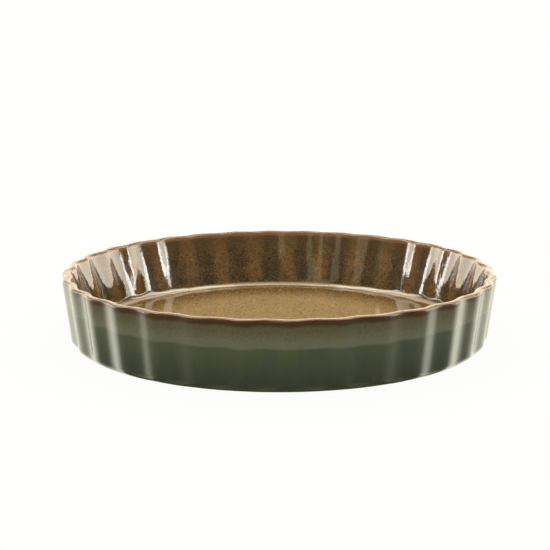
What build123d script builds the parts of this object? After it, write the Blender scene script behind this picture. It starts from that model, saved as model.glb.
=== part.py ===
from build123d import *
import os
from math import atan2, cos, pi, radians, sin, sqrt, tan

# Fluted quiche dish in glazed stoneware, in millimetres.
# It stands on the plane Z = 0 and its axis is Z. A flute's crest lies on +X, and with a
# flute count that four divides, on -Y, +Y and -X as well.

# The dish as it is measured from outside, over the glaze
rim_diameter = 256.0          # over the crests, at the top
base_diameter = 245.7         # over the crests, where the wall's slope would meet the table
dish_height = 40.0            # table to the top of the lip
flute_count = 32
flute_depth = 2.1             # crest to valley at the rim
heel_radius = 4.0             # the rounded edge where the wall turns under

# The wall, the floor and the lip, with their glaze
lip_wall = 4.4                # how thick the wall is at the lip
foot_wall = 11.3              # how thick it is where both its slopes would meet the table
floor_level = 5.0             # table to the glazed floor
corner_radius = 6.0           # the curve from the floor up into the wall
lip_flat = 0.4                # what the two rounded edges leave of the lip's top

# The bare foot ring that the dish stands on
foot_width = 8.0
foot_height = 1.2             # how far the underside stands above the table
foot_edge = 0.4               # the rounding of the ring's inner edge

# The glaze
glaze_thickness = 0.35
brown_drop = 3.4              # how far the brown glaze comes down outside, from the top
band_drop = 15.2              # how far the second dip reached, from the top
bare_heel = 1.0               # clay left bare above the table, outside
bare_margin = 1.0             # clay left bare round the underside's glaze

# The rounded heel and corner stand this far proud of the crests where their curve ends,
# and the curve goes this far round, short of the wall's own slope, before it runs on straight
blend_clearance = 0.15
heel_turn = radians(75)
corner_turn = radians(65)
overrun = 5.0                 # how far a cutting shape runs past what it cuts

rim_crest = rim_diameter / 2
base_crest = base_diameter / 2
half_pitch = pi / flute_count
upwards = (Align.CENTER, Align.CENTER, Align.MIN)


def outer_crest(level):
    """The radius over the outside's crests at a height."""
    return base_crest + (rim_crest - base_crest) * level / dish_height


def inner_crest(level):
    """The radius into the inside's channels at a height, which lie behind those crests."""
    return outer_crest(level) - foot_wall + (foot_wall - lip_wall) * level / dish_height


def on_ray(radius, angle):
    """The point at a radius and an angle from the axis."""
    return (radius * cos(angle), radius * sin(angle))


def arc_radius_for(mean, swing):
    """The one radius that lets crest arcs and valley arcs meet smoothly.

    The two centres lie on rays half a pitch apart, twice the arc's radius from each other,
    which gives a quadratic in that radius."""
    near = 2 * (1 - cos(half_pitch))
    far = 2 * (1 + cos(half_pitch))
    root = sqrt((far * swing) ** 2 + near * (near * mean**2 + far * swing**2))
    return (root - far * swing) / near


def fluted_outline(crest, inset, level):
    """A closed outline at a height: an arc out over each crest and one in at each valley.

    The inset moves the whole outline inwards, so that a coat is equally thick all round."""
    swing = flute_depth / 2 * crest / rim_crest
    mean = crest - swing
    arc_radius = arc_radius_for(mean, swing)
    crest_centre = mean + swing - arc_radius
    valley_centre = mean - swing + arc_radius
    # Where a crest's arc passes into a valley's: on the line between their centres
    across = valley_centre * sin(half_pitch)
    along = valley_centre * cos(half_pitch) - crest_centre
    turn = atan2(across, along)
    join_x = crest_centre + (arc_radius - inset) * cos(turn)
    join_y = (arc_radius - inset) * sin(turn)
    join_radius = sqrt(join_x**2 + join_y**2)
    join_angle = atan2(join_y, join_x)
    arcs = []
    for flute in range(flute_count):
        crest_angle = 2 * half_pitch * flute
        valley_angle = crest_angle + half_pitch
        start = on_ray(join_radius, crest_angle - join_angle)
        middle = on_ray(join_radius, crest_angle + join_angle)
        end = on_ray(join_radius, valley_angle + half_pitch - join_angle)
        arcs.append(ThreePointArc(start, on_ray(mean + swing - inset, crest_angle), middle))
        arcs.append(ThreePointArc(middle, on_ray(mean - swing - inset, valley_angle), end))
    return Pos(0, 0, level) * make_face(Wire(arcs))


def fluted_block(crest_at, inset, top):
    """A solid block with fluted sides, from the table up to a height."""
    ends = [fluted_outline(crest_at(level), inset, level) for level in (0, top)]
    return loft(ends, ruled=True)


def blend_end(crest_at, inset, level, radius, turn):
    """The radius and the height at which a rounded bottom edge ends."""
    rise = level + radius * (1 - cos(turn))
    return crest_at(rise) - inset + blend_clearance, rise


def flat_radius(crest_at, inset, level, radius, turn):
    """How far out a bottom is flat before its edge turns up."""
    return blend_end(crest_at, inset, level, radius, turn)[0] - radius * sin(turn)


def rounded_bowl(crest_at, inset, level, radius, turn, top):
    """A round block with a rounded bottom edge, which trims the flutes where the wall turns."""
    flat = flat_radius(crest_at, inset, level, radius, turn)
    end_radius, end_level = blend_end(crest_at, inset, level, radius, turn)
    top_radius = end_radius + (top - end_level) / tan(turn)
    middle = (flat + radius * sin(turn / 2), level + radius * (1 - cos(turn / 2)))
    edge = Wire(
        [
            Line((0, level), (flat, level)),
            ThreePointArc((flat, level), middle, (end_radius, end_level)),
            Line((end_radius, end_level), (top_radius, top)),
            Line((top_radius, top), (0, top)),
            Line((0, top), (0, level)),
        ]
    )
    return revolve(Plane.XZ * make_face(edge), axis=Axis.Z)


def round_the_lip(shell, top, radius):
    """Rounds both edges of the lip."""
    return fillet(shell.edges().filter_by_position(Axis.Z, top, top), radius)


def open_dish(depth, top):
    """The dish without its lip rounded: all of it that lies a depth under its skin."""
    cut_top = top + overrun
    outside = fluted_block(outer_crest, depth, top) & rounded_bowl(
        outer_crest, depth, 0, heel_radius, heel_turn, cut_top
    )
    hollow = fluted_block(inner_crest, -depth, cut_top) & rounded_bowl(
        inner_crest, -depth, floor_level - depth, corner_radius + depth, corner_turn, cut_top
    )
    return outside - hollow


def clay_body():
    """The fired clay: the dish less its glaze, on a bare ring round a recessed underside."""
    top = dish_height - glaze_thickness
    lip_radius = (lip_wall - lip_flat) / 2 - glaze_thickness
    rounded = round_the_lip(open_dish(glaze_thickness, top), top, lip_radius)
    body = rounded - Cylinder(recess_radius, foot_height, align=upwards)
    ring_edges = body.edges().filter_by(GeomType.CIRCLE).filter_by_position(Axis.Z, 0, 0)
    return fillet(ring_edges.sort_by(SortBy.RADIUS)[0], foot_edge)


def glaze_coats(body):
    """The glaze on the body, parted where the dips end: brown, then the band, then green."""
    lip_radius = (lip_wall - lip_flat) / 2
    glazed = round_the_lip(open_dish(0, dish_height), dish_height, lip_radius)
    wide = rim_diameter + overrun
    bare = Box(wide, wide, bare_heel, align=upwards)
    underside = Cylinder(recess_radius, foot_height, align=upwards)
    coat = glazed - body - bare - underside
    over_brown_line = Pos(0, 0, dish_height - brown_drop) * Box(wide, wide, dish_height, align=upwards)
    over_band_line = Pos(0, 0, dish_height - band_drop) * Box(wide, wide, dish_height, align=upwards)
    lip = coat & over_brown_line
    inner, outer = (coat - over_brown_line).solids().sort_by(lambda skin: skin.bounding_box().size.X)
    return lip + inner, outer & over_band_line, outer - over_band_line


def underside_coat():
    """The glaze inside the foot ring, with a rounded edge, clear of the ring."""
    disc = Cylinder(recess_radius - bare_margin, glaze_thickness, align=upwards)
    disc = Pos(0, 0, foot_height - glaze_thickness) * disc
    low_edge = disc.edges().group_by(Axis.Z)[0]
    return fillet(low_edge, glaze_thickness / 2)


recess_radius = flat_radius(outer_crest, glaze_thickness, 0, heel_radius, heel_turn) - foot_width

stoneware_body = clay_body()
brown_inside_glaze, olive_band_glaze, green_outside_glaze = glaze_coats(stoneware_body)

nodes = {
    "stoneware_body": stoneware_body,
    "brown_inside_glaze": brown_inside_glaze,
    "olive_band_glaze": olive_band_glaze,
    "green_outside_glaze": green_outside_glaze,
    "underside_glaze": underside_coat(),
}
os.makedirs("parts", exist_ok=True)
for name, shape in nodes.items():
    export_step(shape, f"parts/{name}.step")
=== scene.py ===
from math import atan, cos, pi, radians, sin, sqrt, tan

import bpy
from mathutils import Matrix, Vector


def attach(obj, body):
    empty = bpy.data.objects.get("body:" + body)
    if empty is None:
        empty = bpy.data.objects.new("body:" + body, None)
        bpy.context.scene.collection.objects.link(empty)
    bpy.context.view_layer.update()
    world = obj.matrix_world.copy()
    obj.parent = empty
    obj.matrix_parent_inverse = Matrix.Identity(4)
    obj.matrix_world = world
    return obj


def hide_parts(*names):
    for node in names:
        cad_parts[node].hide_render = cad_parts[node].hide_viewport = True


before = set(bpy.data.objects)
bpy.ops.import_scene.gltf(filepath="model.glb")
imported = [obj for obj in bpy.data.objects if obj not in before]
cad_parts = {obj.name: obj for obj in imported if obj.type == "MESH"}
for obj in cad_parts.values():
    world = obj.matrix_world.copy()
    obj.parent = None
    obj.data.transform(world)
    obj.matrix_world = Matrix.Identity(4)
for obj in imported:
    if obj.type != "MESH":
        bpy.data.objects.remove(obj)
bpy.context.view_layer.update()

# The fired clay: one pressed stoneware piece with a fluted wall, a flat floor and a bare foot
# ring round a recessed underside. The glazes cover it, all but the ring and the foot of the
# heel.
mm = 0.001
flutes = 32
flute_depth = 2.1 * mm          # crest to valley at the rim, outside
channel_depth = 1.9 * mm        # channel to ridge at the rim, inside
channel_foot_share = 0.4        # how much of that depth would be left at the table
ridge_sharpness = 0.1           # how much narrower a ridge inside is than a channel
rim_radius = 127.875 * mm       # over the crests, at the top
base_radius = 122.85 * mm       # over the crests, where the wall's slope would meet the table
dish_height = 40.0 * mm
lip_thickness = 4.4 * mm        # the wall at the lip, with its glaze
foot_thickness = 11.3 * mm      # the wall where its slopes would meet the table
floor_level = 5.0 * mm          # table to the glazed floor
corner_radius = 6.0 * mm        # from the floor up into the wall
heel_radius = 4.0 * mm          # where the wall turns under
lip_radius = 2.0 * mm
glaze = 0.35 * mm               # one coat of glaze
recess_radius = 111.17 * mm
recess_height = 1.2 * mm
recess_edge = 0.4 * mm
steps_per_flute = 20
sharp_edge = radians(38)        # an edge that turns by more than this stays crisp
seam_reach = 0.002 * mm         # how near two points are that close a seam or a pole


def crest_radius(level):
    """The outside's radius over the crests at a height."""
    return base_radius + (rim_radius - base_radius) * level / dish_height


def outside_radius(level):
    """The outside's mean radius at a height, halfway between crest and valley."""
    return crest_radius(level) * (1 - flute_depth / 2 / rim_radius)


def inside_radius(level):
    """The inside's mean radius at a height: the wall grows thinner towards the lip."""
    share = level / dish_height
    return outside_radius(level) - foot_thickness + (foot_thickness - lip_thickness) * share


def middle_radius(level):
    """The radius halfway through the wall at a height."""
    return (outside_radius(level) + inside_radius(level)) / 2


wall_lean = (middle_radius(dish_height) - middle_radius(0)) / dish_height


def feed(tree, entry, source):
    """Links a socket to a node's input, or gives the input a plain value."""
    if isinstance(source, bpy.types.NodeSocket):
        tree.links.new(source, entry)
    else:
        entry.default_value = source


def wire(tree, kind, *sources, output=0, **settings):
    """Adds a node with its settings, feeds its inputs in order, and gives one of its outputs.
    A source of None leaves its input alone."""
    node = tree.nodes.new(kind)
    for name, value in settings.items():
        setattr(node, name, value)
    for entry, source in zip(node.inputs, sources):
        if source is not None:
            feed(tree, entry, source)
    return node.outputs[output]


def maths(tree, operation, *values):
    """One step of a sum."""
    return wire(tree, "ShaderNodeMath", *values, operation=operation)


def ramp(tree, value, low, high, bottom=0.0, top=1.0):
    """Maps a value from low..high to bottom..top, smoothly and no further."""
    return wire(tree, "ShaderNodeMapRange", value, low, high, bottom, top,
                interpolation_type="SMOOTHSTEP")


def parts_of(tree, vector):
    """The three parts of a vector."""
    node = tree.nodes.new("ShaderNodeSeparateXYZ")
    tree.links.new(vector, node.inputs[0])
    return node.outputs


def switch_by_index(tree, data_type, index, sources):
    """A value for each corner of a section, picked by the corner's index."""
    node = tree.nodes.new("GeometryNodeIndexSwitch")
    node.data_type = data_type
    while len(node.index_switch_items) < len(sources):
        node.index_switch_items.new()
    for entry, source in zip(node.inputs, [index] + sources):
        feed(tree, entry, source)
    return node.outputs[0]


def fluted_tree(name, corners):
    """A Geometry Nodes tree that draws a section from named corners, rounds them, turns the
    section once round the axis and waves it into flutes. A corner is its name and how many
    steps its rounding takes."""
    tree = bpy.data.node_groups.new(name, "GeometryNodeTree")
    tree.is_modifier = True
    face = tree.interface
    face.new_socket("Geometry", in_out="INPUT", socket_type="NodeSocketGeometry")
    face.new_socket("Geometry", in_out="OUTPUT", socket_type="NodeSocketGeometry")
    for size in ("Flutes", "Steps Per Flute"):
        face.new_socket(size, in_out="INPUT", socket_type="NodeSocketInt")
    for size in ("Flute Depth", "Channel Depth", "Channel Foot Share", "Ridge Sharpness",
                 "Rim Radius", "Dish Height", "Flat Floor", "Full Flutes Inside",
                 "Full Flutes Outside", "Parting Radius", "Parting Lean", "Parting Reach"):
        face.new_socket(size, in_out="INPUT", socket_type="NodeSocketFloat")
    face.new_socket("Finish", in_out="INPUT", socket_type="NodeSocketMaterial")
    for corner, _ in corners:
        for size in ("Radius", "Height", "Rounding"):
            face.new_socket(f"{corner} {size}", in_out="INPUT", socket_type="NodeSocketFloat")
    given = tree.nodes.new("NodeGroupInput").outputs

    # The section, as a poly curve whose corners stand at their radius and height
    index = wire(tree, "GeometryNodeInputIndex")
    line = wire(tree, "GeometryNodeCurvePrimitiveLine")
    line = wire(tree, "GeometryNodeResampleCurve", line, None, len(corners))
    places = [wire(tree, "ShaderNodeCombineXYZ", given[f"{corner} Radius"], 0.0,
                   given[f"{corner} Height"]) for corner, _ in corners]
    line = wire(tree, "GeometryNodeSetPosition", line, None,
                switch_by_index(tree, "VECTOR", index, places))
    rounding = switch_by_index(tree, "FLOAT", index,
                               [given[f"{corner} Rounding"] for corner, _ in corners])
    steps = switch_by_index(tree, "INT", index, [count for _, count in corners])
    fillet = tree.nodes.new("GeometryNodeFilletCurve")
    fillet.mode = "POLY"
    feed(tree, fillet.inputs["Curve"], line)
    feed(tree, fillet.inputs["Count"], steps)
    feed(tree, fillet.inputs["Radius"], rounding)
    feed(tree, fillet.inputs["Limit Radius"], True)
    section = fillet.outputs[0]
    rings = wire(tree, "GeometryNodeAttributeDomainSize", section, component="CURVE")

    # A grid, one row for each point of the section, turned once round the axis
    around = maths(tree, "MULTIPLY", given["Flutes"], given["Steps Per Flute"])
    grid = wire(tree, "GeometryNodeMeshGrid", 1.0, 1.0, maths(tree, "ADD", around, 1.0), rings)
    position = wire(tree, "GeometryNodeInputPosition")
    column, row, _ = parts_of(tree, position)
    turn = maths(tree, "MULTIPLY", maths(tree, "ADD", column, 0.5), 2 * pi)
    row = maths(tree, "MULTIPLY", maths(tree, "ADD", row, 0.5),
                maths(tree, "SUBTRACT", rings, 1.0))
    sample = tree.nodes.new("GeometryNodeSampleIndex")
    sample.data_type = "FLOAT_VECTOR"
    sample.domain = "POINT"
    sample.clamp = True
    feed(tree, sample.inputs[0], section)
    feed(tree, sample.inputs["Value"], position)
    feed(tree, sample.inputs["Index"], maths(tree, "ROUND", row))
    radius, _, level = parts_of(tree, sample.outputs[0])

    # How far a point belongs to the outside of the wall rather than to the inside
    middle = maths(tree, "ADD", given["Parting Radius"],
                   maths(tree, "MULTIPLY", level, given["Parting Lean"]))
    outside = ramp(tree, maths(tree, "SUBTRACT", radius, middle),
                   maths(tree, "MULTIPLY", given["Parting Reach"], -1.0), given["Parting Reach"])
    inside = maths(tree, "SUBTRACT", 1.0, outside)

    # The flutes die away into the floor inside and into the round heel outside
    fade_inside = ramp(tree, level, given["Flat Floor"], given["Full Flutes Inside"])
    fade_outside = ramp(tree, level, 0.0, given["Full Flutes Outside"])
    fade = maths(tree, "ADD", maths(tree, "MULTIPLY", fade_inside, inside),
                 maths(tree, "MULTIPLY", fade_outside, outside))

    # A wave makes the flutes, and a ripple inside makes the ridges narrower than the channels
    flute_turn = maths(tree, "MULTIPLY", turn, given["Flutes"])
    wave = maths(tree, "MULTIPLY", maths(tree, "COSINE", flute_turn), fade)
    ripple = maths(tree, "COSINE", maths(tree, "MULTIPLY", flute_turn, 2.0))
    ripple = maths(tree, "MULTIPLY", ripple, fade)
    ripple = maths(tree, "MULTIPLY", ripple,
                   maths(tree, "MULTIPLY", inside, given["Ridge Sharpness"]))

    # How deep the flutes are: the inside's grow from the table up
    risen = maths(tree, "DIVIDE", level, given["Dish Height"])
    foot_share = given["Channel Foot Share"]
    grown = maths(tree, "ADD", foot_share,
                  maths(tree, "MULTIPLY", risen, maths(tree, "SUBTRACT", 1.0, foot_share)))
    channel = maths(tree, "MULTIPLY", given["Channel Depth"], grown)
    depth = maths(tree, "ADD", maths(tree, "MULTIPLY", channel, inside),
                  maths(tree, "MULTIPLY", given["Flute Depth"], outside))
    swing = maths(tree, "MULTIPLY", maths(tree, "MULTIPLY", depth, 0.5), radius)
    swing = maths(tree, "DIVIDE", swing, given["Rim Radius"])
    waved = maths(tree, "MULTIPLY", swing, maths(tree, "SUBTRACT", wave, ripple))
    waved = maths(tree, "ADD", radius, waved)
    place = wire(tree, "ShaderNodeCombineXYZ",
                 maths(tree, "MULTIPLY", waved, maths(tree, "COSINE", turn)),
                 maths(tree, "MULTIPLY", waved, maths(tree, "SINE", turn)), level)

    # The wave is kept before the grid is bent, because it is worked out from the grid's places
    store = tree.nodes.new("GeometryNodeStoreNamedAttribute")
    store.data_type = "FLOAT"
    store.domain = "POINT"
    feed(tree, store.inputs["Name"], "flute")
    feed(tree, store.inputs[0], grid)
    feed(tree, store.inputs["Value"], wave)
    shell = wire(tree, "GeometryNodeSetPosition", store.outputs[0], None, place)
    shell = wire(tree, "GeometryNodeMergeByDistance", shell, None, seam_reach)
    shell = wire(tree, "GeometryNodeSetShadeSmooth", shell, None, True, domain="FACE")
    angle = wire(tree, "GeometryNodeInputMeshEdgeAngle")
    soft = wire(tree, "FunctionNodeCompare", angle, sharp_edge, operation="LESS_THAN",
                data_type="FLOAT")
    shell = wire(tree, "GeometryNodeSetShadeSmooth", shell, None, soft, domain="EDGE")
    shell = wire(tree, "GeometryNodeRealizeInstances", shell)
    shell = wire(tree, "GeometryNodeSetMaterial", shell, None, given["Finish"])
    ending = tree.nodes.new("NodeGroupOutput")
    feed(tree, ending.inputs[0], shell)
    return tree


def fluted_piece(name, section, finish):
    """A plain mesh object, made by a fluted tree from a section: for each corner its name,
    radius, height, rounding and the steps of that rounding. The section runs up the outside,
    over the lip and down the inside, or round a coat in that sense, so that the faces point
    outwards."""
    tree = fluted_tree(name + "_shape", [(corner[0], corner[4]) for corner in section])
    sizes = {
        "Flutes": flutes, "Steps Per Flute": steps_per_flute, "Flute Depth": flute_depth,
        "Channel Depth": channel_depth, "Channel Foot Share": channel_foot_share,
        "Ridge Sharpness": ridge_sharpness, "Rim Radius": rim_radius,
        "Dish Height": dish_height, "Flat Floor": floor_level,
        "Full Flutes Inside": floor_level + corner_radius,
        "Full Flutes Outside": heel_radius, "Parting Radius": middle_radius(0),
        "Parting Lean": wall_lean, "Parting Reach": lip_radius / 2, "Finish": finish,
    }
    for corner, radius, level, rounding, _ in section:
        sizes[f"{corner} Radius"] = radius
        sizes[f"{corner} Height"] = level
        sizes[f"{corner} Rounding"] = rounding
    piece = bpy.data.objects.new(name, bpy.data.meshes.new(name + "_start"))
    bpy.context.scene.collection.objects.link(piece)
    shape = piece.modifiers.new("Shape", "NODES")
    shape.node_group = tree
    for item in tree.interface.items_tree:
        if item.in_out == "INPUT" and item.name in sizes:
            shape[item.identifier] = sizes[item.name]
    depsgraph = bpy.context.evaluated_depsgraph_get()
    mesh = bpy.data.meshes.new_from_object(piece.evaluated_get(depsgraph),
                                           preserve_all_data_layers=True, depsgraph=depsgraph)
    piece.modifiers.clear()
    mesh.name = name
    piece.data = mesh
    return piece


def pigment(red, green, blue):
    """A colour from its screen values, as a shader takes it."""
    def linear(value):
        share = value / 255
        return share / 12.92 if share <= 0.04045 else ((share + 0.055) / 1.055) ** 2.4
    return (linear(red), linear(green), linear(blue), 1.0)


def new_material(name, roughness, ior=1.5):
    """A material with its tree, its shader and its object coordinates."""
    material = bpy.data.materials.new(name)
    material.use_nodes = True
    tree = material.node_tree
    shader = tree.nodes["Principled BSDF"]
    shader.inputs["Roughness"].default_value = roughness
    shader.inputs["IOR"].default_value = ior
    here = wire(tree, "ShaderNodeTexCoord", output="Object")
    return material, tree, shader, here


def noise(tree, coordinates, size, detail=2.0, rough=0.5, stretch=None):
    """Noise whose features are about that size, stretched along the axes if wanted."""
    if stretch:
        coordinates = wire(tree, "ShaderNodeVectorMath", coordinates, stretch,
                           operation="MULTIPLY")
    node = tree.nodes.new("ShaderNodeTexNoise")
    feed(tree, node.inputs["Vector"], coordinates)
    feed(tree, node.inputs["Scale"], 1 / size)
    feed(tree, node.inputs["Detail"], detail)
    feed(tree, node.inputs["Roughness"], rough)
    return node.outputs["Fac"]


def blend(tree, share, first, second):
    """One colour passing into another."""
    node = tree.nodes.new("ShaderNodeMix")
    node.data_type = "RGBA"
    node.clamp_factor = True
    for place, source in ((0, share), (6, first), (7, second)):
        feed(tree, node.inputs[place], source)
    return node.outputs[2]


def raise_surface(tree, shader, height, distance):
    """Bump, with the height in shares of that distance."""
    bump = tree.nodes.new("ShaderNodeBump")
    feed(tree, bump.inputs["Distance"], distance)
    feed(tree, bump.inputs["Strength"], 1.0)
    feed(tree, bump.inputs["Height"], height)
    feed(tree, shader.inputs["Normal"], bump.outputs[0])


clay_light = pigment(196, 172, 138)
clay_dark = pigment(178, 150, 115)
iron_spot = pigment(104, 78, 54)
clay_roughness = 0.72
cloud_size = 14 * mm            # the patches where the clay fired a little darker
spot_size = 1.1 * mm
sand_size = 0.5 * mm            # the grain that can be felt on the bare ring
sand_height = 0.08 * mm

clay, tree, shader, here = new_material("bare_stoneware", clay_roughness)
spots = ramp(tree, noise(tree, here, spot_size, 1.0), 0.66, 0.72)
clouds = ramp(tree, noise(tree, here, cloud_size, 3.0), 0.3, 0.7)
shade = blend(tree, spots, blend(tree, clouds, clay_light, clay_dark), iron_spot)
feed(tree, shader.inputs["Base Color"], shade)
raise_surface(tree, shader, noise(tree, here, sand_size, 3.0), sand_height)

clay_section = [
    ("Underside Middle", 0.0, recess_height, 0.0, 1),
    ("Recess", recess_radius, recess_height, 0.0, 1),
    ("Ring Inner Edge", recess_radius, 0.0, recess_edge, 4),
    ("Heel", outside_radius(0) - glaze, 0.0, heel_radius, 10),
    ("Lip Outer Edge", outside_radius(dish_height) - glaze, dish_height - glaze,
     lip_radius - glaze, 6),
    ("Lip Inner Edge", inside_radius(dish_height) + glaze, dish_height - glaze,
     lip_radius - glaze, 6),
    ("Corner", inside_radius(floor_level) + glaze, floor_level - glaze,
     corner_radius + glaze, 12),
    ("Floor Middle", 0.0, floor_level - glaze, 0.0, 1),
]
body = fluted_piece("stoneware_clay", clay_section, clay)
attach(body, "root")
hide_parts("stoneware_body")

# The speckled brown glaze: it fills the inside and goes over the lip and a few millimetres down
# the outside, where the dish was dipped upside down. It breaks golden on the floor and on the
# ridges, and runs darker on the wall, in the channels and at the floor's edge. This is partly its
# own colours and partly painted light and shade. The pale line in the corner is a painted
# highlight.
brown_line = 36.6 * mm          # the height at which it ends, outside
band_line = 24.8 * mm           # the height at which the second dip ended
crisp_radius = 1.2 * mm         # the lip's outer edge, which shows as a thin bright line
wall_flare = 0.55 * mm          # how far the inside's middle stands in front of a straight wall
flare_radius = 90.0 * mm

# Its colours: on the wall, a painted highlight in the corner, on the floor, then on the lip and
# outside
brown_dark = pigment(76, 68, 50)
brown_copper = pigment(158, 120, 70)
wall_high = pigment(108, 86, 56)
# A painted highlight: the corner's pale reflection, painted into the colour
corner_painted_highlight = pigment(230, 208, 172)
floor_middle = pigment(184, 150, 94)
floor_edge = pigment(124, 88, 38)
floor_bright = pigment(218, 186, 134)
floor_dark = pigment(108, 78, 42)
lip_tan = pigment(144, 110, 74)
lip_rust = pigment(150, 114, 80)
brown_strip = pigment(76, 52, 24)
olive_top = pigment(94, 88, 60)
olive_low = pigment(117, 115, 86)

# Its gloss and its grain
glaze_ior = 1.55
brown_roughness = 0.08
lip_roughness = 0.32
grain_size = 1.1 * mm           # the speckles
patch_size = 6 * mm             # where the speckles stand closer together
orange_peel = 2.5 * mm          # the size of the faint waves in its skin
run_size = 3 * mm               # how wide the runs in the wall's skin are
run_stretch = (1.0, 1.0, 0.15)  # they are long upright streaks
floor_run_share = 0.25          # how much of them is left on the floor
run_height_share = 2.0          # how high they stand beside the faint waves
skin_height = 0.05 * mm

# The heights and radii between which one colour or gloss passes into the next
calm_heights = (24 * mm, 35 * mm)               # the wall's speckles grow fainter
golden_radii = (66 * mm, 102 * mm)              # the floor's gold turns brown
floor_heights = (5.3 * mm, 7.5 * mm)
corner_highlight_start_heights = (5.1 * mm, 5.6 * mm)      # the painted highlight in the corner fades in
corner_highlight_end_heights = (6.2 * mm, 7.6 * mm)       # the painted highlight in the corner fades out
run_heights = (6 * mm, 10 * mm)
rolled_heights = (dish_height - 2.9 * mm, dish_height - 2.2 * mm)
lip_heights = (dish_height - 1.3 * mm, dish_height - 0.5 * mm)
matt_heights = (dish_height - 1.7 * mm, dish_height - 1.0 * mm)
outward_radii = (middle_radius(0) + 0.5 * mm, middle_radius(0) + 1.5 * mm)
outer_lip_radii = (middle_radius(0) - 1.2 * mm, middle_radius(0) + 0.3 * mm)
lip_rise = 0.5 * mm             # how much higher the lip's colour starts outside
matt_drop = 0.3 * mm            # how much lower the lip's duller gloss starts outside
corner_highlight_strength = 0.8              # how strong the painted highlight in the corner is
inner_lip_share = 0.2           # how much of the lip's tan reaches its inner half

# How it ends outside, on the way down to the band
edge_wave = 0.12 * mm           # how much lower it ran on the crests
edge_wander = 1.6 * mm          # how far its edge wanders up and down
wander_size = 5 * mm
edge_heights = (brown_line - 0.3 * mm, brown_line + 1.7 * mm)
mottle_size = 1.2 * mm
mottle_share = 0.25


def surface_places(tree, here):
    """A point's height, its distance from the axis, and how near a crest it lies (-1 to 1)."""
    level = parts_of(tree, here)[2]
    flat = wire(tree, "ShaderNodeVectorMath", here, (1.0, 1.0, 0.0), operation="MULTIPLY")
    away = wire(tree, "ShaderNodeVectorMath", flat, operation="LENGTH", output="Value")
    return level, away, wire(tree, "ShaderNodeAttribute", attribute_name="flute", output="Fac")


def sum_of(tree, first, second, share=1.0):
    """The first value and a share of the second."""
    return maths(tree, "ADD", first, maths(tree, "MULTIPLY", second, share))


def outside_shade(tree, here):
    """The colour from the lip down to the band's lower end: the brown glaze thins out along a
    wavy edge, and under it the olive grows paler downwards."""
    level, _, flute = surface_places(tree, here)
    wander = noise(tree, here, wander_size, 3.0, 0.6)
    height = sum_of(tree, sum_of(tree, level, flute, edge_wave), wander, edge_wander)
    brown_share = ramp(tree, height, *edge_heights)
    down = ramp(tree, level, band_line, brown_line, 1.0, 0.0)
    mottle = ramp(tree, noise(tree, here, mottle_size, 3.0, 0.7), 0.3, 0.7,
                  -mottle_share, mottle_share)
    shade = blend(tree, sum_of(tree, down, mottle), olive_top, olive_low)
    return blend(tree, brown_share, shade, brown_strip)


brown, tree, shader, here = new_material("brown_glaze", brown_roughness, glaze_ior)
level, away, flute = surface_places(tree, here)
grain = noise(tree, here, grain_size, 3.0, 0.7)
patch = noise(tree, here, patch_size, 3.0, 0.6)

# On the wall: copper speckles, closest together on the ridges, over the dark brown. That is
# partly the glaze breaking thin over the ridges, and partly painted light on the ridges and
# painted shade in the channels.
ridge = ramp(tree, flute, -1.0, 0.7, 1.0, 0.0)
speckle = sum_of(tree, sum_of(tree, grain, ridge, 0.16), patch, 0.35)
wall_shade = blend(tree, ramp(tree, speckle, 0.57, 1.02), brown_dark, brown_copper)
wall_shade = blend(tree, ramp(tree, level, *calm_heights, 0.0, 0.5), wall_shade, wall_high)

# On the floor: golden in the middle and brown towards the wall, with both kinds of grain. The
# brown is partly where the glaze pooled and partly painted shade near the wall.
pooled_and_shaded = ramp(tree, away, *golden_radii)
floor_shade = blend(tree, pooled_and_shaded, floor_middle, floor_edge)
bright_grain = sum_of(tree, ramp(tree, grain, 0.3, 0.7, -0.2, 0.8), pooled_and_shaded, -0.3)
floor_shade = blend(tree, bright_grain, floor_shade, floor_bright)
dark_grain = sum_of(tree, ramp(tree, grain, 0.5, 0.25, 0.0, 0.75), pooled_and_shaded, -0.35)
floor_shade = blend(tree, dark_grain, floor_shade, floor_dark)

# From the floor to the wall, through the corner. The wall's darker brown beside the floor's gold
# is partly the glaze's own colour and partly painted light and shade. The floor is painted
# lighter, as if lit from above, and the wall darker.
shade = blend(tree, ramp(tree, level, *floor_heights, 1.0, 0.0), wall_shade, floor_shade)
# The pale line in the corner is a painted highlight laid over the colour between these heights
corner_highlight_mask = maths(tree, "MULTIPLY", ramp(tree, level, *corner_highlight_start_heights, 0.0, corner_highlight_strength),
                  ramp(tree, level, *corner_highlight_end_heights, 1.0, 0.0))
shade = blend(tree, corner_highlight_mask, shade, corner_painted_highlight)

# Over the lip and down the outside. The distance from the axis is taken as if the wall stood
# upright and had no flutes.
upright = sum_of(tree, away, level, -wall_lean)
upright = sum_of(tree, upright, flute, -(flute_depth + channel_depth) / 4)
outward = ramp(tree, upright, *outward_radii)
shade = blend(tree, ramp(tree, level, *rolled_heights), shade, lip_rust)
shade = blend(tree, outward, shade, outside_shade(tree, here))
on_lip = ramp(tree, sum_of(tree, level, outward, -lip_rise), *lip_heights)
on_lip = maths(tree, "MULTIPLY", on_lip,
               ramp(tree, upright, *outer_lip_radii, inner_lip_share, 1.0))
feed(tree, shader.inputs["Base Color"], blend(tree, on_lip, shade, lip_tan))
matt_height = sum_of(tree, level, outward, matt_drop)
feed(tree, shader.inputs["Roughness"],
     ramp(tree, matt_height, *matt_heights, brown_roughness, lip_roughness))
runs = maths(tree, "MULTIPLY", noise(tree, here, run_size, 2.0, 0.5, run_stretch),
             ramp(tree, level, *run_heights, floor_run_share, 1.0))
skin = sum_of(tree, noise(tree, here, orange_peel, 2.0), runs, run_height_share)
raise_surface(tree, shader, skin, skin_height)

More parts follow.
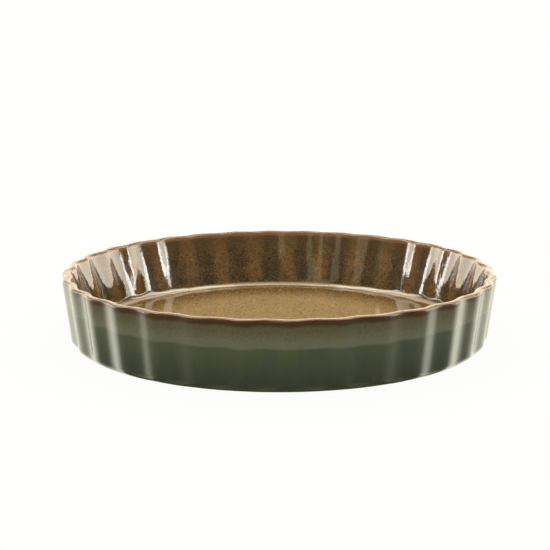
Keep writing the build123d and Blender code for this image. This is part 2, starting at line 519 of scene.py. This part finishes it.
brown_section = [
    ("Under Floor Middle", 0.0, floor_level - glaze, 0.0, 1),
    ("Back Corner", inside_radius(floor_level) + glaze, floor_level - glaze,
     corner_radius + glaze, 8),
    ("Back Lip Inner Edge", inside_radius(dish_height) + glaze, dish_height - glaze,
     lip_radius - glaze, 4),
    ("Back Lip Outer Edge", outside_radius(dish_height) - glaze, dish_height - glaze,
     lip_radius - glaze, 4),
    ("Back Low Edge", outside_radius(brown_line) - glaze, brown_line, 0.0, 1),
    ("Low Edge", outside_radius(brown_line), brown_line, 0.0, 1),
    ("Lip Outer Edge", outside_radius(dish_height), dish_height, crisp_radius, 8),
    ("Lip Inner Edge", inside_radius(dish_height), dish_height, lip_radius, 8),
    ("Wall Middle", inside_radius(dish_height / 2) - wall_flare, dish_height / 2,
     flare_radius, 8),
    ("Corner", inside_radius(floor_level), floor_level, corner_radius, 14),
    ("Floor Middle", 0.0, floor_level, 0.0, 1),
]
inner_coat = fluted_piece("brown_inside_coat", brown_section, brown)
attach(inner_coat, "root")
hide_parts("brown_inside_glaze")

# The olive band: the two glazes lie over each other here, between the lines that the dips left
# on the outside. It ends below in a paler line, and the green starts under that.
pale_line = pigment(110, 114, 90)
green_top = pigment(85, 91, 64)
green_low = pigment(68, 73, 54)
teal_streak = pigment(62, 82, 72)
olive_streak = pigment(92, 94, 60)
# A painted reflection: the white table's light on the heel, painted into the green
heel_painted_reflection = pigment(102, 103, 74)
outside_roughness = 0.12
outside_skin_height = 0.04 * mm
streak_size = 9 * mm
teal_share = 0.6
olive_share = 0.5
darkest_height = 4 * mm         # the green is darkest below this
heel_reflection_heights = (1.4 * mm, 4.2 * mm)
waver_size = 9 * mm
waver = 2.0 * mm                # how far the band's lower line wanders up and down
line_middle = band_line + waver
line_spread = (line_middle - 2.2 * mm, line_middle + 1.8 * mm)
line_foot = (line_middle - 2.4 * mm, line_middle - 0.4 * mm)
line_top = (line_middle + 0.2 * mm, line_middle + 2.6 * mm)


def lower_shade(tree, here):
    """The colour from the band's lower end down: green with streaks of teal and olive, and a
    paler rim at the heel that is a painted reflection of the white table."""
    level = parts_of(tree, here)[2]
    down = ramp(tree, level, darkest_height, band_line, 1.0, 0.0)
    shade = blend(tree, down, green_top, green_low)
    streaks = noise(tree, here, streak_size, 2.0, 0.5, run_stretch)
    shade = blend(tree, ramp(tree, streaks, 0.48, 0.75, 0.0, teal_share), shade, teal_streak)
    shade = blend(tree, ramp(tree, streaks, 0.48, 0.25, 0.0, olive_share), shade, olive_streak)
    # The paler rim at the heel is a painted reflection of the table
    return blend(tree, ramp(tree, level, *heel_reflection_heights, 1.0, 0.0), shade, heel_painted_reflection)


def outside_material(name):
    """The outside's glaze: the band's colours and the green's pass into each other through a
    paler line, where the second dip ended."""
    material, tree, shader, here = new_material(name, outside_roughness, glaze_ior)
    level = parts_of(tree, here)[2]
    height = sum_of(tree, level, noise(tree, here, waver_size, 3.0, 0.6), waver)
    shade = blend(tree, ramp(tree, height, *line_spread), lower_shade(tree, here),
                  outside_shade(tree, here))
    on_line = maths(tree, "MULTIPLY", ramp(tree, height, *line_foot),
                    ramp(tree, height, *line_top, 1.0, 0.0))
    feed(tree, shader.inputs["Base Color"], blend(tree, on_line, shade, pale_line))
    raise_surface(tree, shader, noise(tree, here, orange_peel, 2.0), outside_skin_height)
    return material


band_middle = (band_line + brown_line) / 2
olive_section = [
    ("Back Middle", outside_radius(band_middle) - glaze, band_middle, 0.0, 1),
    ("Back Low Edge", outside_radius(band_line) - glaze, band_line, 0.0, 1),
    ("Low Edge", outside_radius(band_line), band_line, 0.0, 1),
    ("Middle", outside_radius(band_middle), band_middle, 0.0, 1),
    ("High Edge", outside_radius(brown_line), brown_line, 0.0, 1),
    ("Back High Edge", outside_radius(brown_line) - glaze, brown_line, 0.0, 1),
    ("Back Middle Again", outside_radius(band_middle) - glaze, band_middle, 0.0, 1),
]
band = fluted_piece("olive_band_coat", olive_section, outside_material("olive_glaze"))
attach(band, "root")
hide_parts("olive_band_glaze")

# The dark green glaze: from the band down to the heel, where it was wiped off just above the
# table, so that the dish wouldn't stick in the kiln.
bare_heel = 0.5 * mm            # clay left bare above the table
heel_levels = [bare_heel, 1.1 * mm, 2.1 * mm, 2.8 * mm, 3.6 * mm]
heel_top = 4.6 * mm
heel_lean = atan((rim_radius - base_radius) / dish_height)
heel_centre = outside_radius(0) - heel_radius / tan(radians(45) + heel_lean / 2)


def heel_skin(level):
    """The mean radius of the glazed heel's curve at a height."""
    return heel_centre + sqrt(heel_radius**2 - (heel_radius - level) ** 2)


green_middle = band_line / 2
green_section = (
    [("Back Middle", outside_radius(green_middle) - glaze, green_middle, 0.0, 1)]
    + [(f"Back Heel {n}", heel_skin(z) - glaze, z, 0.0, 1)
       for n, z in enumerate(reversed(heel_levels))]
    + [(f"Heel {n}", heel_skin(z), z, 0.0, 1) for n, z in enumerate(heel_levels)]
    + [
        ("Heel Top", outside_radius(heel_top), heel_top, 0.0, 1),
        ("Middle", outside_radius(green_middle), green_middle, 0.0, 1),
        ("High Edge", outside_radius(band_line), band_line, 0.0, 1),
        ("Back High Edge", outside_radius(band_line) - glaze, band_line, 0.0, 1),
        ("Back Middle Again", outside_radius(green_middle) - glaze, green_middle, 0.0, 1),
    ]
)
lower = fluted_piece("green_outside_coat", green_section, outside_material("green_glaze"))
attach(lower, "root")
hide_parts("green_outside_glaze")

# The glaze inside the foot ring: a thin green coat on the recessed underside. The dish was
# fired standing on its ring, which is bare for that reason.
underside_olive = pigment(84, 86, 60)
underside_roughness = 0.2
underside_mottle_size = 2.4 * mm
underside_skin_size = 3 * mm

under, tree, shader, here = new_material("underside_glaze", underside_roughness)
mottle = ramp(tree, noise(tree, here, underside_mottle_size, 4.0, 0.6), 0.35, 0.65)
feed(tree, shader.inputs["Base Color"], blend(tree, mottle, green_low, underside_olive))
raise_surface(tree, shader, noise(tree, here, underside_skin_size, 2.0), skin_height)
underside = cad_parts["underside_glaze"]
underside.data.materials.clear()
underside.data.materials.append(under)

# The table: a plain matte sheet that runs out of the picture. The camera sees it as bright as
# the backdrop, with the dish's soft shadow kept round the dish.
half_table = 6.0
table_white = (0.8, 0.8, 0.78, 1.0)
backdrop_white = (1.0, 1.0, 0.985, 1.0)
shadow_share = 0.03             # how much of the matte sheet shows near the dish
shadow_radii = (130 * mm, 200 * mm)

sheet = bpy.data.meshes.new("table")
sheet.from_pydata([(-half_table, -half_table, 0), (half_table, -half_table, 0),
                   (half_table, half_table, 0), (-half_table, half_table, 0)], [],
                  [(0, 1, 2, 3)])
table = bpy.data.objects.new("table", sheet)
bpy.context.scene.collection.objects.link(table)
white = bpy.data.materials.new("white_table")
white.use_nodes = True
tree = white.node_tree
tree.nodes.clear()
rays = tree.nodes.new("ShaderNodeLightPath").outputs
seen = maths(tree, "MAXIMUM", rays["Is Camera Ray"], rays["Is Glossy Ray"])
seen = maths(tree, "MAXIMUM", seen, rays["Is Transmission Ray"])
matte = wire(tree, "ShaderNodeBsdfDiffuse", table_white)
glow = wire(tree, "ShaderNodeEmission", backdrop_white, 1.0)
here = wire(tree, "ShaderNodeTexCoord", output="Object")
apart = wire(tree, "ShaderNodeVectorMath", here, operation="LENGTH", output="Value")
shadowed = wire(tree, "ShaderNodeMixShader",
                ramp(tree, apart, *shadow_radii, shadow_share, 0.0), glow, matte)
surface = wire(tree, "ShaderNodeMixShader", seen, matte, shadowed)
feed(tree, tree.nodes.new("ShaderNodeOutputMaterial").inputs[0], surface)
table.data.materials.append(white)
table.visible_glossy = False

# The studio that the glaze mirrors, drawn in the world: pale walls low down, which the outside
# sees; side panels, which the inside sees; a dim window and a panel overhead. All of it is dark
# towards the camera. The camera itself sees plain white, and even light fills the shadows.
camera_turn = radians(2.7)      # the camera stands this far round from -Y, towards -X
panel_skew = radians(5.0)       # the side panels are turned this much further the same way
brightest = 20.0                # the strength that the top of a curve stands for

# Strengths at angles from the camera, in degrees: of the low walls, and of the side panels
low_strengths = [(0, 0.14), (55, 0.2), (75, 0.36), (92, 0.55), (100, 1.0), (106, 1.7), (116, 2.2),
                 (130, 2.5), (142, 2.1), (152, 1.7), (164, 1.4), (172, 0.8), (180, 0.5)]
side_strengths = [(0, 0.12), (70, 0.2), (91.5, 0.4), (93.5, 17.0), (99, 17.0), (102, 7.6),
                  (125, 6.8), (140, 5.2), (160, 4.0), (180, 3.8)]
left_panel_share = 0.87         # how bright the left panel is beside the right one

# Heights, each as the sine of an elevation. Where there are two, the light fades between them.
side_tops = [(0, 0.32), (118, 0.32), (130, 0.28), (150, 0.34), (180, 0.34)]
side_top_blur = 0.03
above_side_share = 0.08         # what the side panels leave above their tops
low_feet = (-0.75, -0.58)
horizon = -0.12                 # the low walls end and the side panels start
horizon_blur = 0.03
panel_feet = (0.45, 0.6)        # the side panels' last light ends and the overhead panel starts
window_tops = (0.9, 0.97)

# Angles round from the camera, in radians and positive towards +X. The last three are used on
# both sides.
window_left = (radians(-44), radians(-41))
window_right = (radians(-24), radians(-21))
left_panel_start = (-1.6, -1.3)
bright_edge_start = (radians(80), radians(88))
bright_edge_end = (radians(98), radians(103))
window_white_end = (radians(50), radians(60))

# The overhead panel, by how far a ray of length 1 points away from the camera, and across
panel_near = (0.03, 0.06)
panel_far = (0.36, 0.44)
middle_near = (0.24, 0.32)      # its middle starts only here, so that the floor isn't washed out
middle_sides = (0.2, 0.28)
panel_strength = 8.0
middle_extra = 3.0

# The whites of the side panels and of their bright edges, of the window and of the low walls
warm_white = (1.0, 0.91, 0.74, 1.0)
cool_white = (1.0, 0.97, 0.94, 1.0)
window_white = (1.0, 0.95, 0.55, 1.0)
soft_white = (1.0, 0.99, 0.82, 1.0)
fill_white = (1.0, 1.0, 1.0, 1.0)
fill_strength = 0.45

world = bpy.data.worlds.new("studio")
bpy.context.scene.world = world
world.use_nodes = True
tree = world.node_tree
tree.nodes.clear()
rays = tree.nodes.new("ShaderNodeLightPath").outputs
rotate = tree.nodes.new("ShaderNodeVectorRotate")
rotate.rotation_type = "Z_AXIS"
feed(tree, rotate.inputs["Vector"], wire(tree, "ShaderNodeTexCoord", output="Generated"))
feed(tree, rotate.inputs["Angle"], camera_turn)
across, away, up = parts_of(tree, rotate.outputs[0])


def by_angle(angle, strengths):
    """A strength that follows an angle from the camera, through pairs of degrees and strength."""
    node = tree.nodes.new("ShaderNodeFloatCurve")
    curve = node.mapping.curves[0]
    places = [(degrees / 180, strength / brightest) for degrees, strength in strengths]
    curve.points[0].location, curve.points[1].location = places[0], places[-1]
    for place in places[1:-1]:
        curve.points.new(*place)
    for point in curve.points:
        point.handle_type = "VECTOR"
    node.mapping.update()
    share = maths(tree, "DIVIDE", maths(tree, "ABSOLUTE", angle), pi)
    feed(tree, node.inputs["Value"], share)
    return maths(tree, "MULTIPLY", node.outputs[0], brightest)


# The low walls
turned = maths(tree, "ARCTAN2", across, maths(tree, "MULTIPLY", away, -1.0))
low_glow = maths(tree, "MULTIPLY", by_angle(turned, low_strengths), ramp(tree, up, *low_feet))

# The side panels, the left one a little dimmer
skewed = maths(tree, "ADD", turned, panel_skew)
under_top = maths(tree, "SUBTRACT", by_angle(skewed, side_tops), up)
side_glow = maths(tree, "MULTIPLY", by_angle(skewed, side_strengths),
                  ramp(tree, under_top, -side_top_blur, side_top_blur, above_side_share, 1.0))
side_glow = maths(tree, "MULTIPLY", side_glow, ramp(tree, up, *panel_feet, 1.0, 0.0))
side_glow = maths(tree, "MULTIPLY", side_glow,
                  ramp(tree, turned, *left_panel_start, left_panel_share, 1.0))

# The dim window, to the left of the camera
window = maths(tree, "MULTIPLY", ramp(tree, turned, *window_left),
               ramp(tree, turned, *window_right, 1.0, 0.0))
window = maths(tree, "MULTIPLY", window, ramp(tree, up, *window_tops, 1.0, 0.0))

# The panel overhead
middle = ramp(tree, maths(tree, "ABSOLUTE", across), *middle_sides, 1.0, 0.0)
opening = maths(tree, "MULTIPLY", middle, ramp(tree, away, *middle_near, 1.0, 0.0))
overhead = maths(tree, "MULTIPLY", ramp(tree, up, *panel_feet), ramp(tree, away, *panel_near))
overhead = maths(tree, "MULTIPLY", overhead, ramp(tree, away, *panel_far, 1.0, 0.0))
overhead = maths(tree, "MULTIPLY", overhead, maths(tree, "SUBTRACT", 1.0, opening))
overhead = maths(tree, "MULTIPLY", overhead, sum_of(tree, panel_strength, middle, middle_extra))

# All of them together
around = maths(tree, "ABSOLUTE", skewed)
at_edge = maths(tree, "MULTIPLY", ramp(tree, around, *bright_edge_start),
                ramp(tree, around, *bright_edge_end, 1.0, 0.0))
near_window = ramp(tree, around, *window_white_end, 1.0, 0.0)
high_white = blend(tree, near_window, blend(tree, at_edge, warm_white, cool_white), window_white)
high_glow = maths(tree, "ADD", maths(tree, "ADD", side_glow, window), overhead)
mirrored = wire(tree, "ShaderNodeMixShader",
                ramp(tree, up, horizon - horizon_blur, horizon + horizon_blur),
                wire(tree, "ShaderNodeBackground", soft_white, low_glow),
                wire(tree, "ShaderNodeBackground", high_white, high_glow))
fill = wire(tree, "ShaderNodeBackground", fill_white, fill_strength)
plain = wire(tree, "ShaderNodeBackground", backdrop_white, 1.0)
seen = maths(tree, "MAXIMUM", rays["Is Camera Ray"], rays["Is Transmission Ray"])
surface = wire(tree, "ShaderNodeMixShader", seen, fill, plain)
surface = wire(tree, "ShaderNodeMixShader", rays["Is Glossy Ray"], surface, mirrored)
feed(tree, tree.nodes.new("ShaderNodeOutputWorld").inputs[0], surface)


def soft_light(name, place, size, watts):
    """A square lamp that faces the dish and is left out of reflections."""
    lamp = bpy.data.lights.new(name, "AREA")
    lamp.size = size
    lamp.energy = watts
    holder = bpy.data.objects.new(name, lamp)
    bpy.context.scene.collection.objects.link(holder)
    holder.location = place
    holder.rotation_mode = "QUATERNION"
    holder.rotation_quaternion = (-Vector(place)).to_track_quat("-Z", "Y")
    holder.visible_glossy = False


soft_light("overhead", place=(0.0, 0.5, 1.6), size=1.6, watts=16)
soft_light("front_fill", place=(-0.4, -1.6, 0.7), size=1.2, watts=5)

# The camera, at the photograph's angle: it stands a little to the left of the dish's middle and
# looks down on it through a long lens.
distance, height = 789.0 * mm, 206.7 * mm
pitch, yaw, roll = 0.213, -0.003, -0.001
picture_width = 550             # in pixels
focal_pixels = 1360

lens = bpy.data.cameras.new("camera")
lens.sensor_width = 36.0
lens.lens = lens.sensor_width * focal_pixels / picture_width
camera = bpy.data.objects.new("camera", lens)
bpy.context.scene.collection.objects.link(camera)
camera.location = (-distance * sin(camera_turn), -distance * cos(camera_turn), height)
heading = camera_turn + yaw
forward = Vector((sin(heading) * cos(pitch), cos(heading) * cos(pitch), -sin(pitch)))
camera.rotation_mode = "QUATERNION"
camera.rotation_quaternion = (forward.to_track_quat("-Z", "Y").to_matrix()
                              @ Matrix.Rotation(roll, 3, "Z")).to_quaternion()
bpy.context.scene.camera = camera
bpy.context.scene.view_settings.view_transform = "Standard"
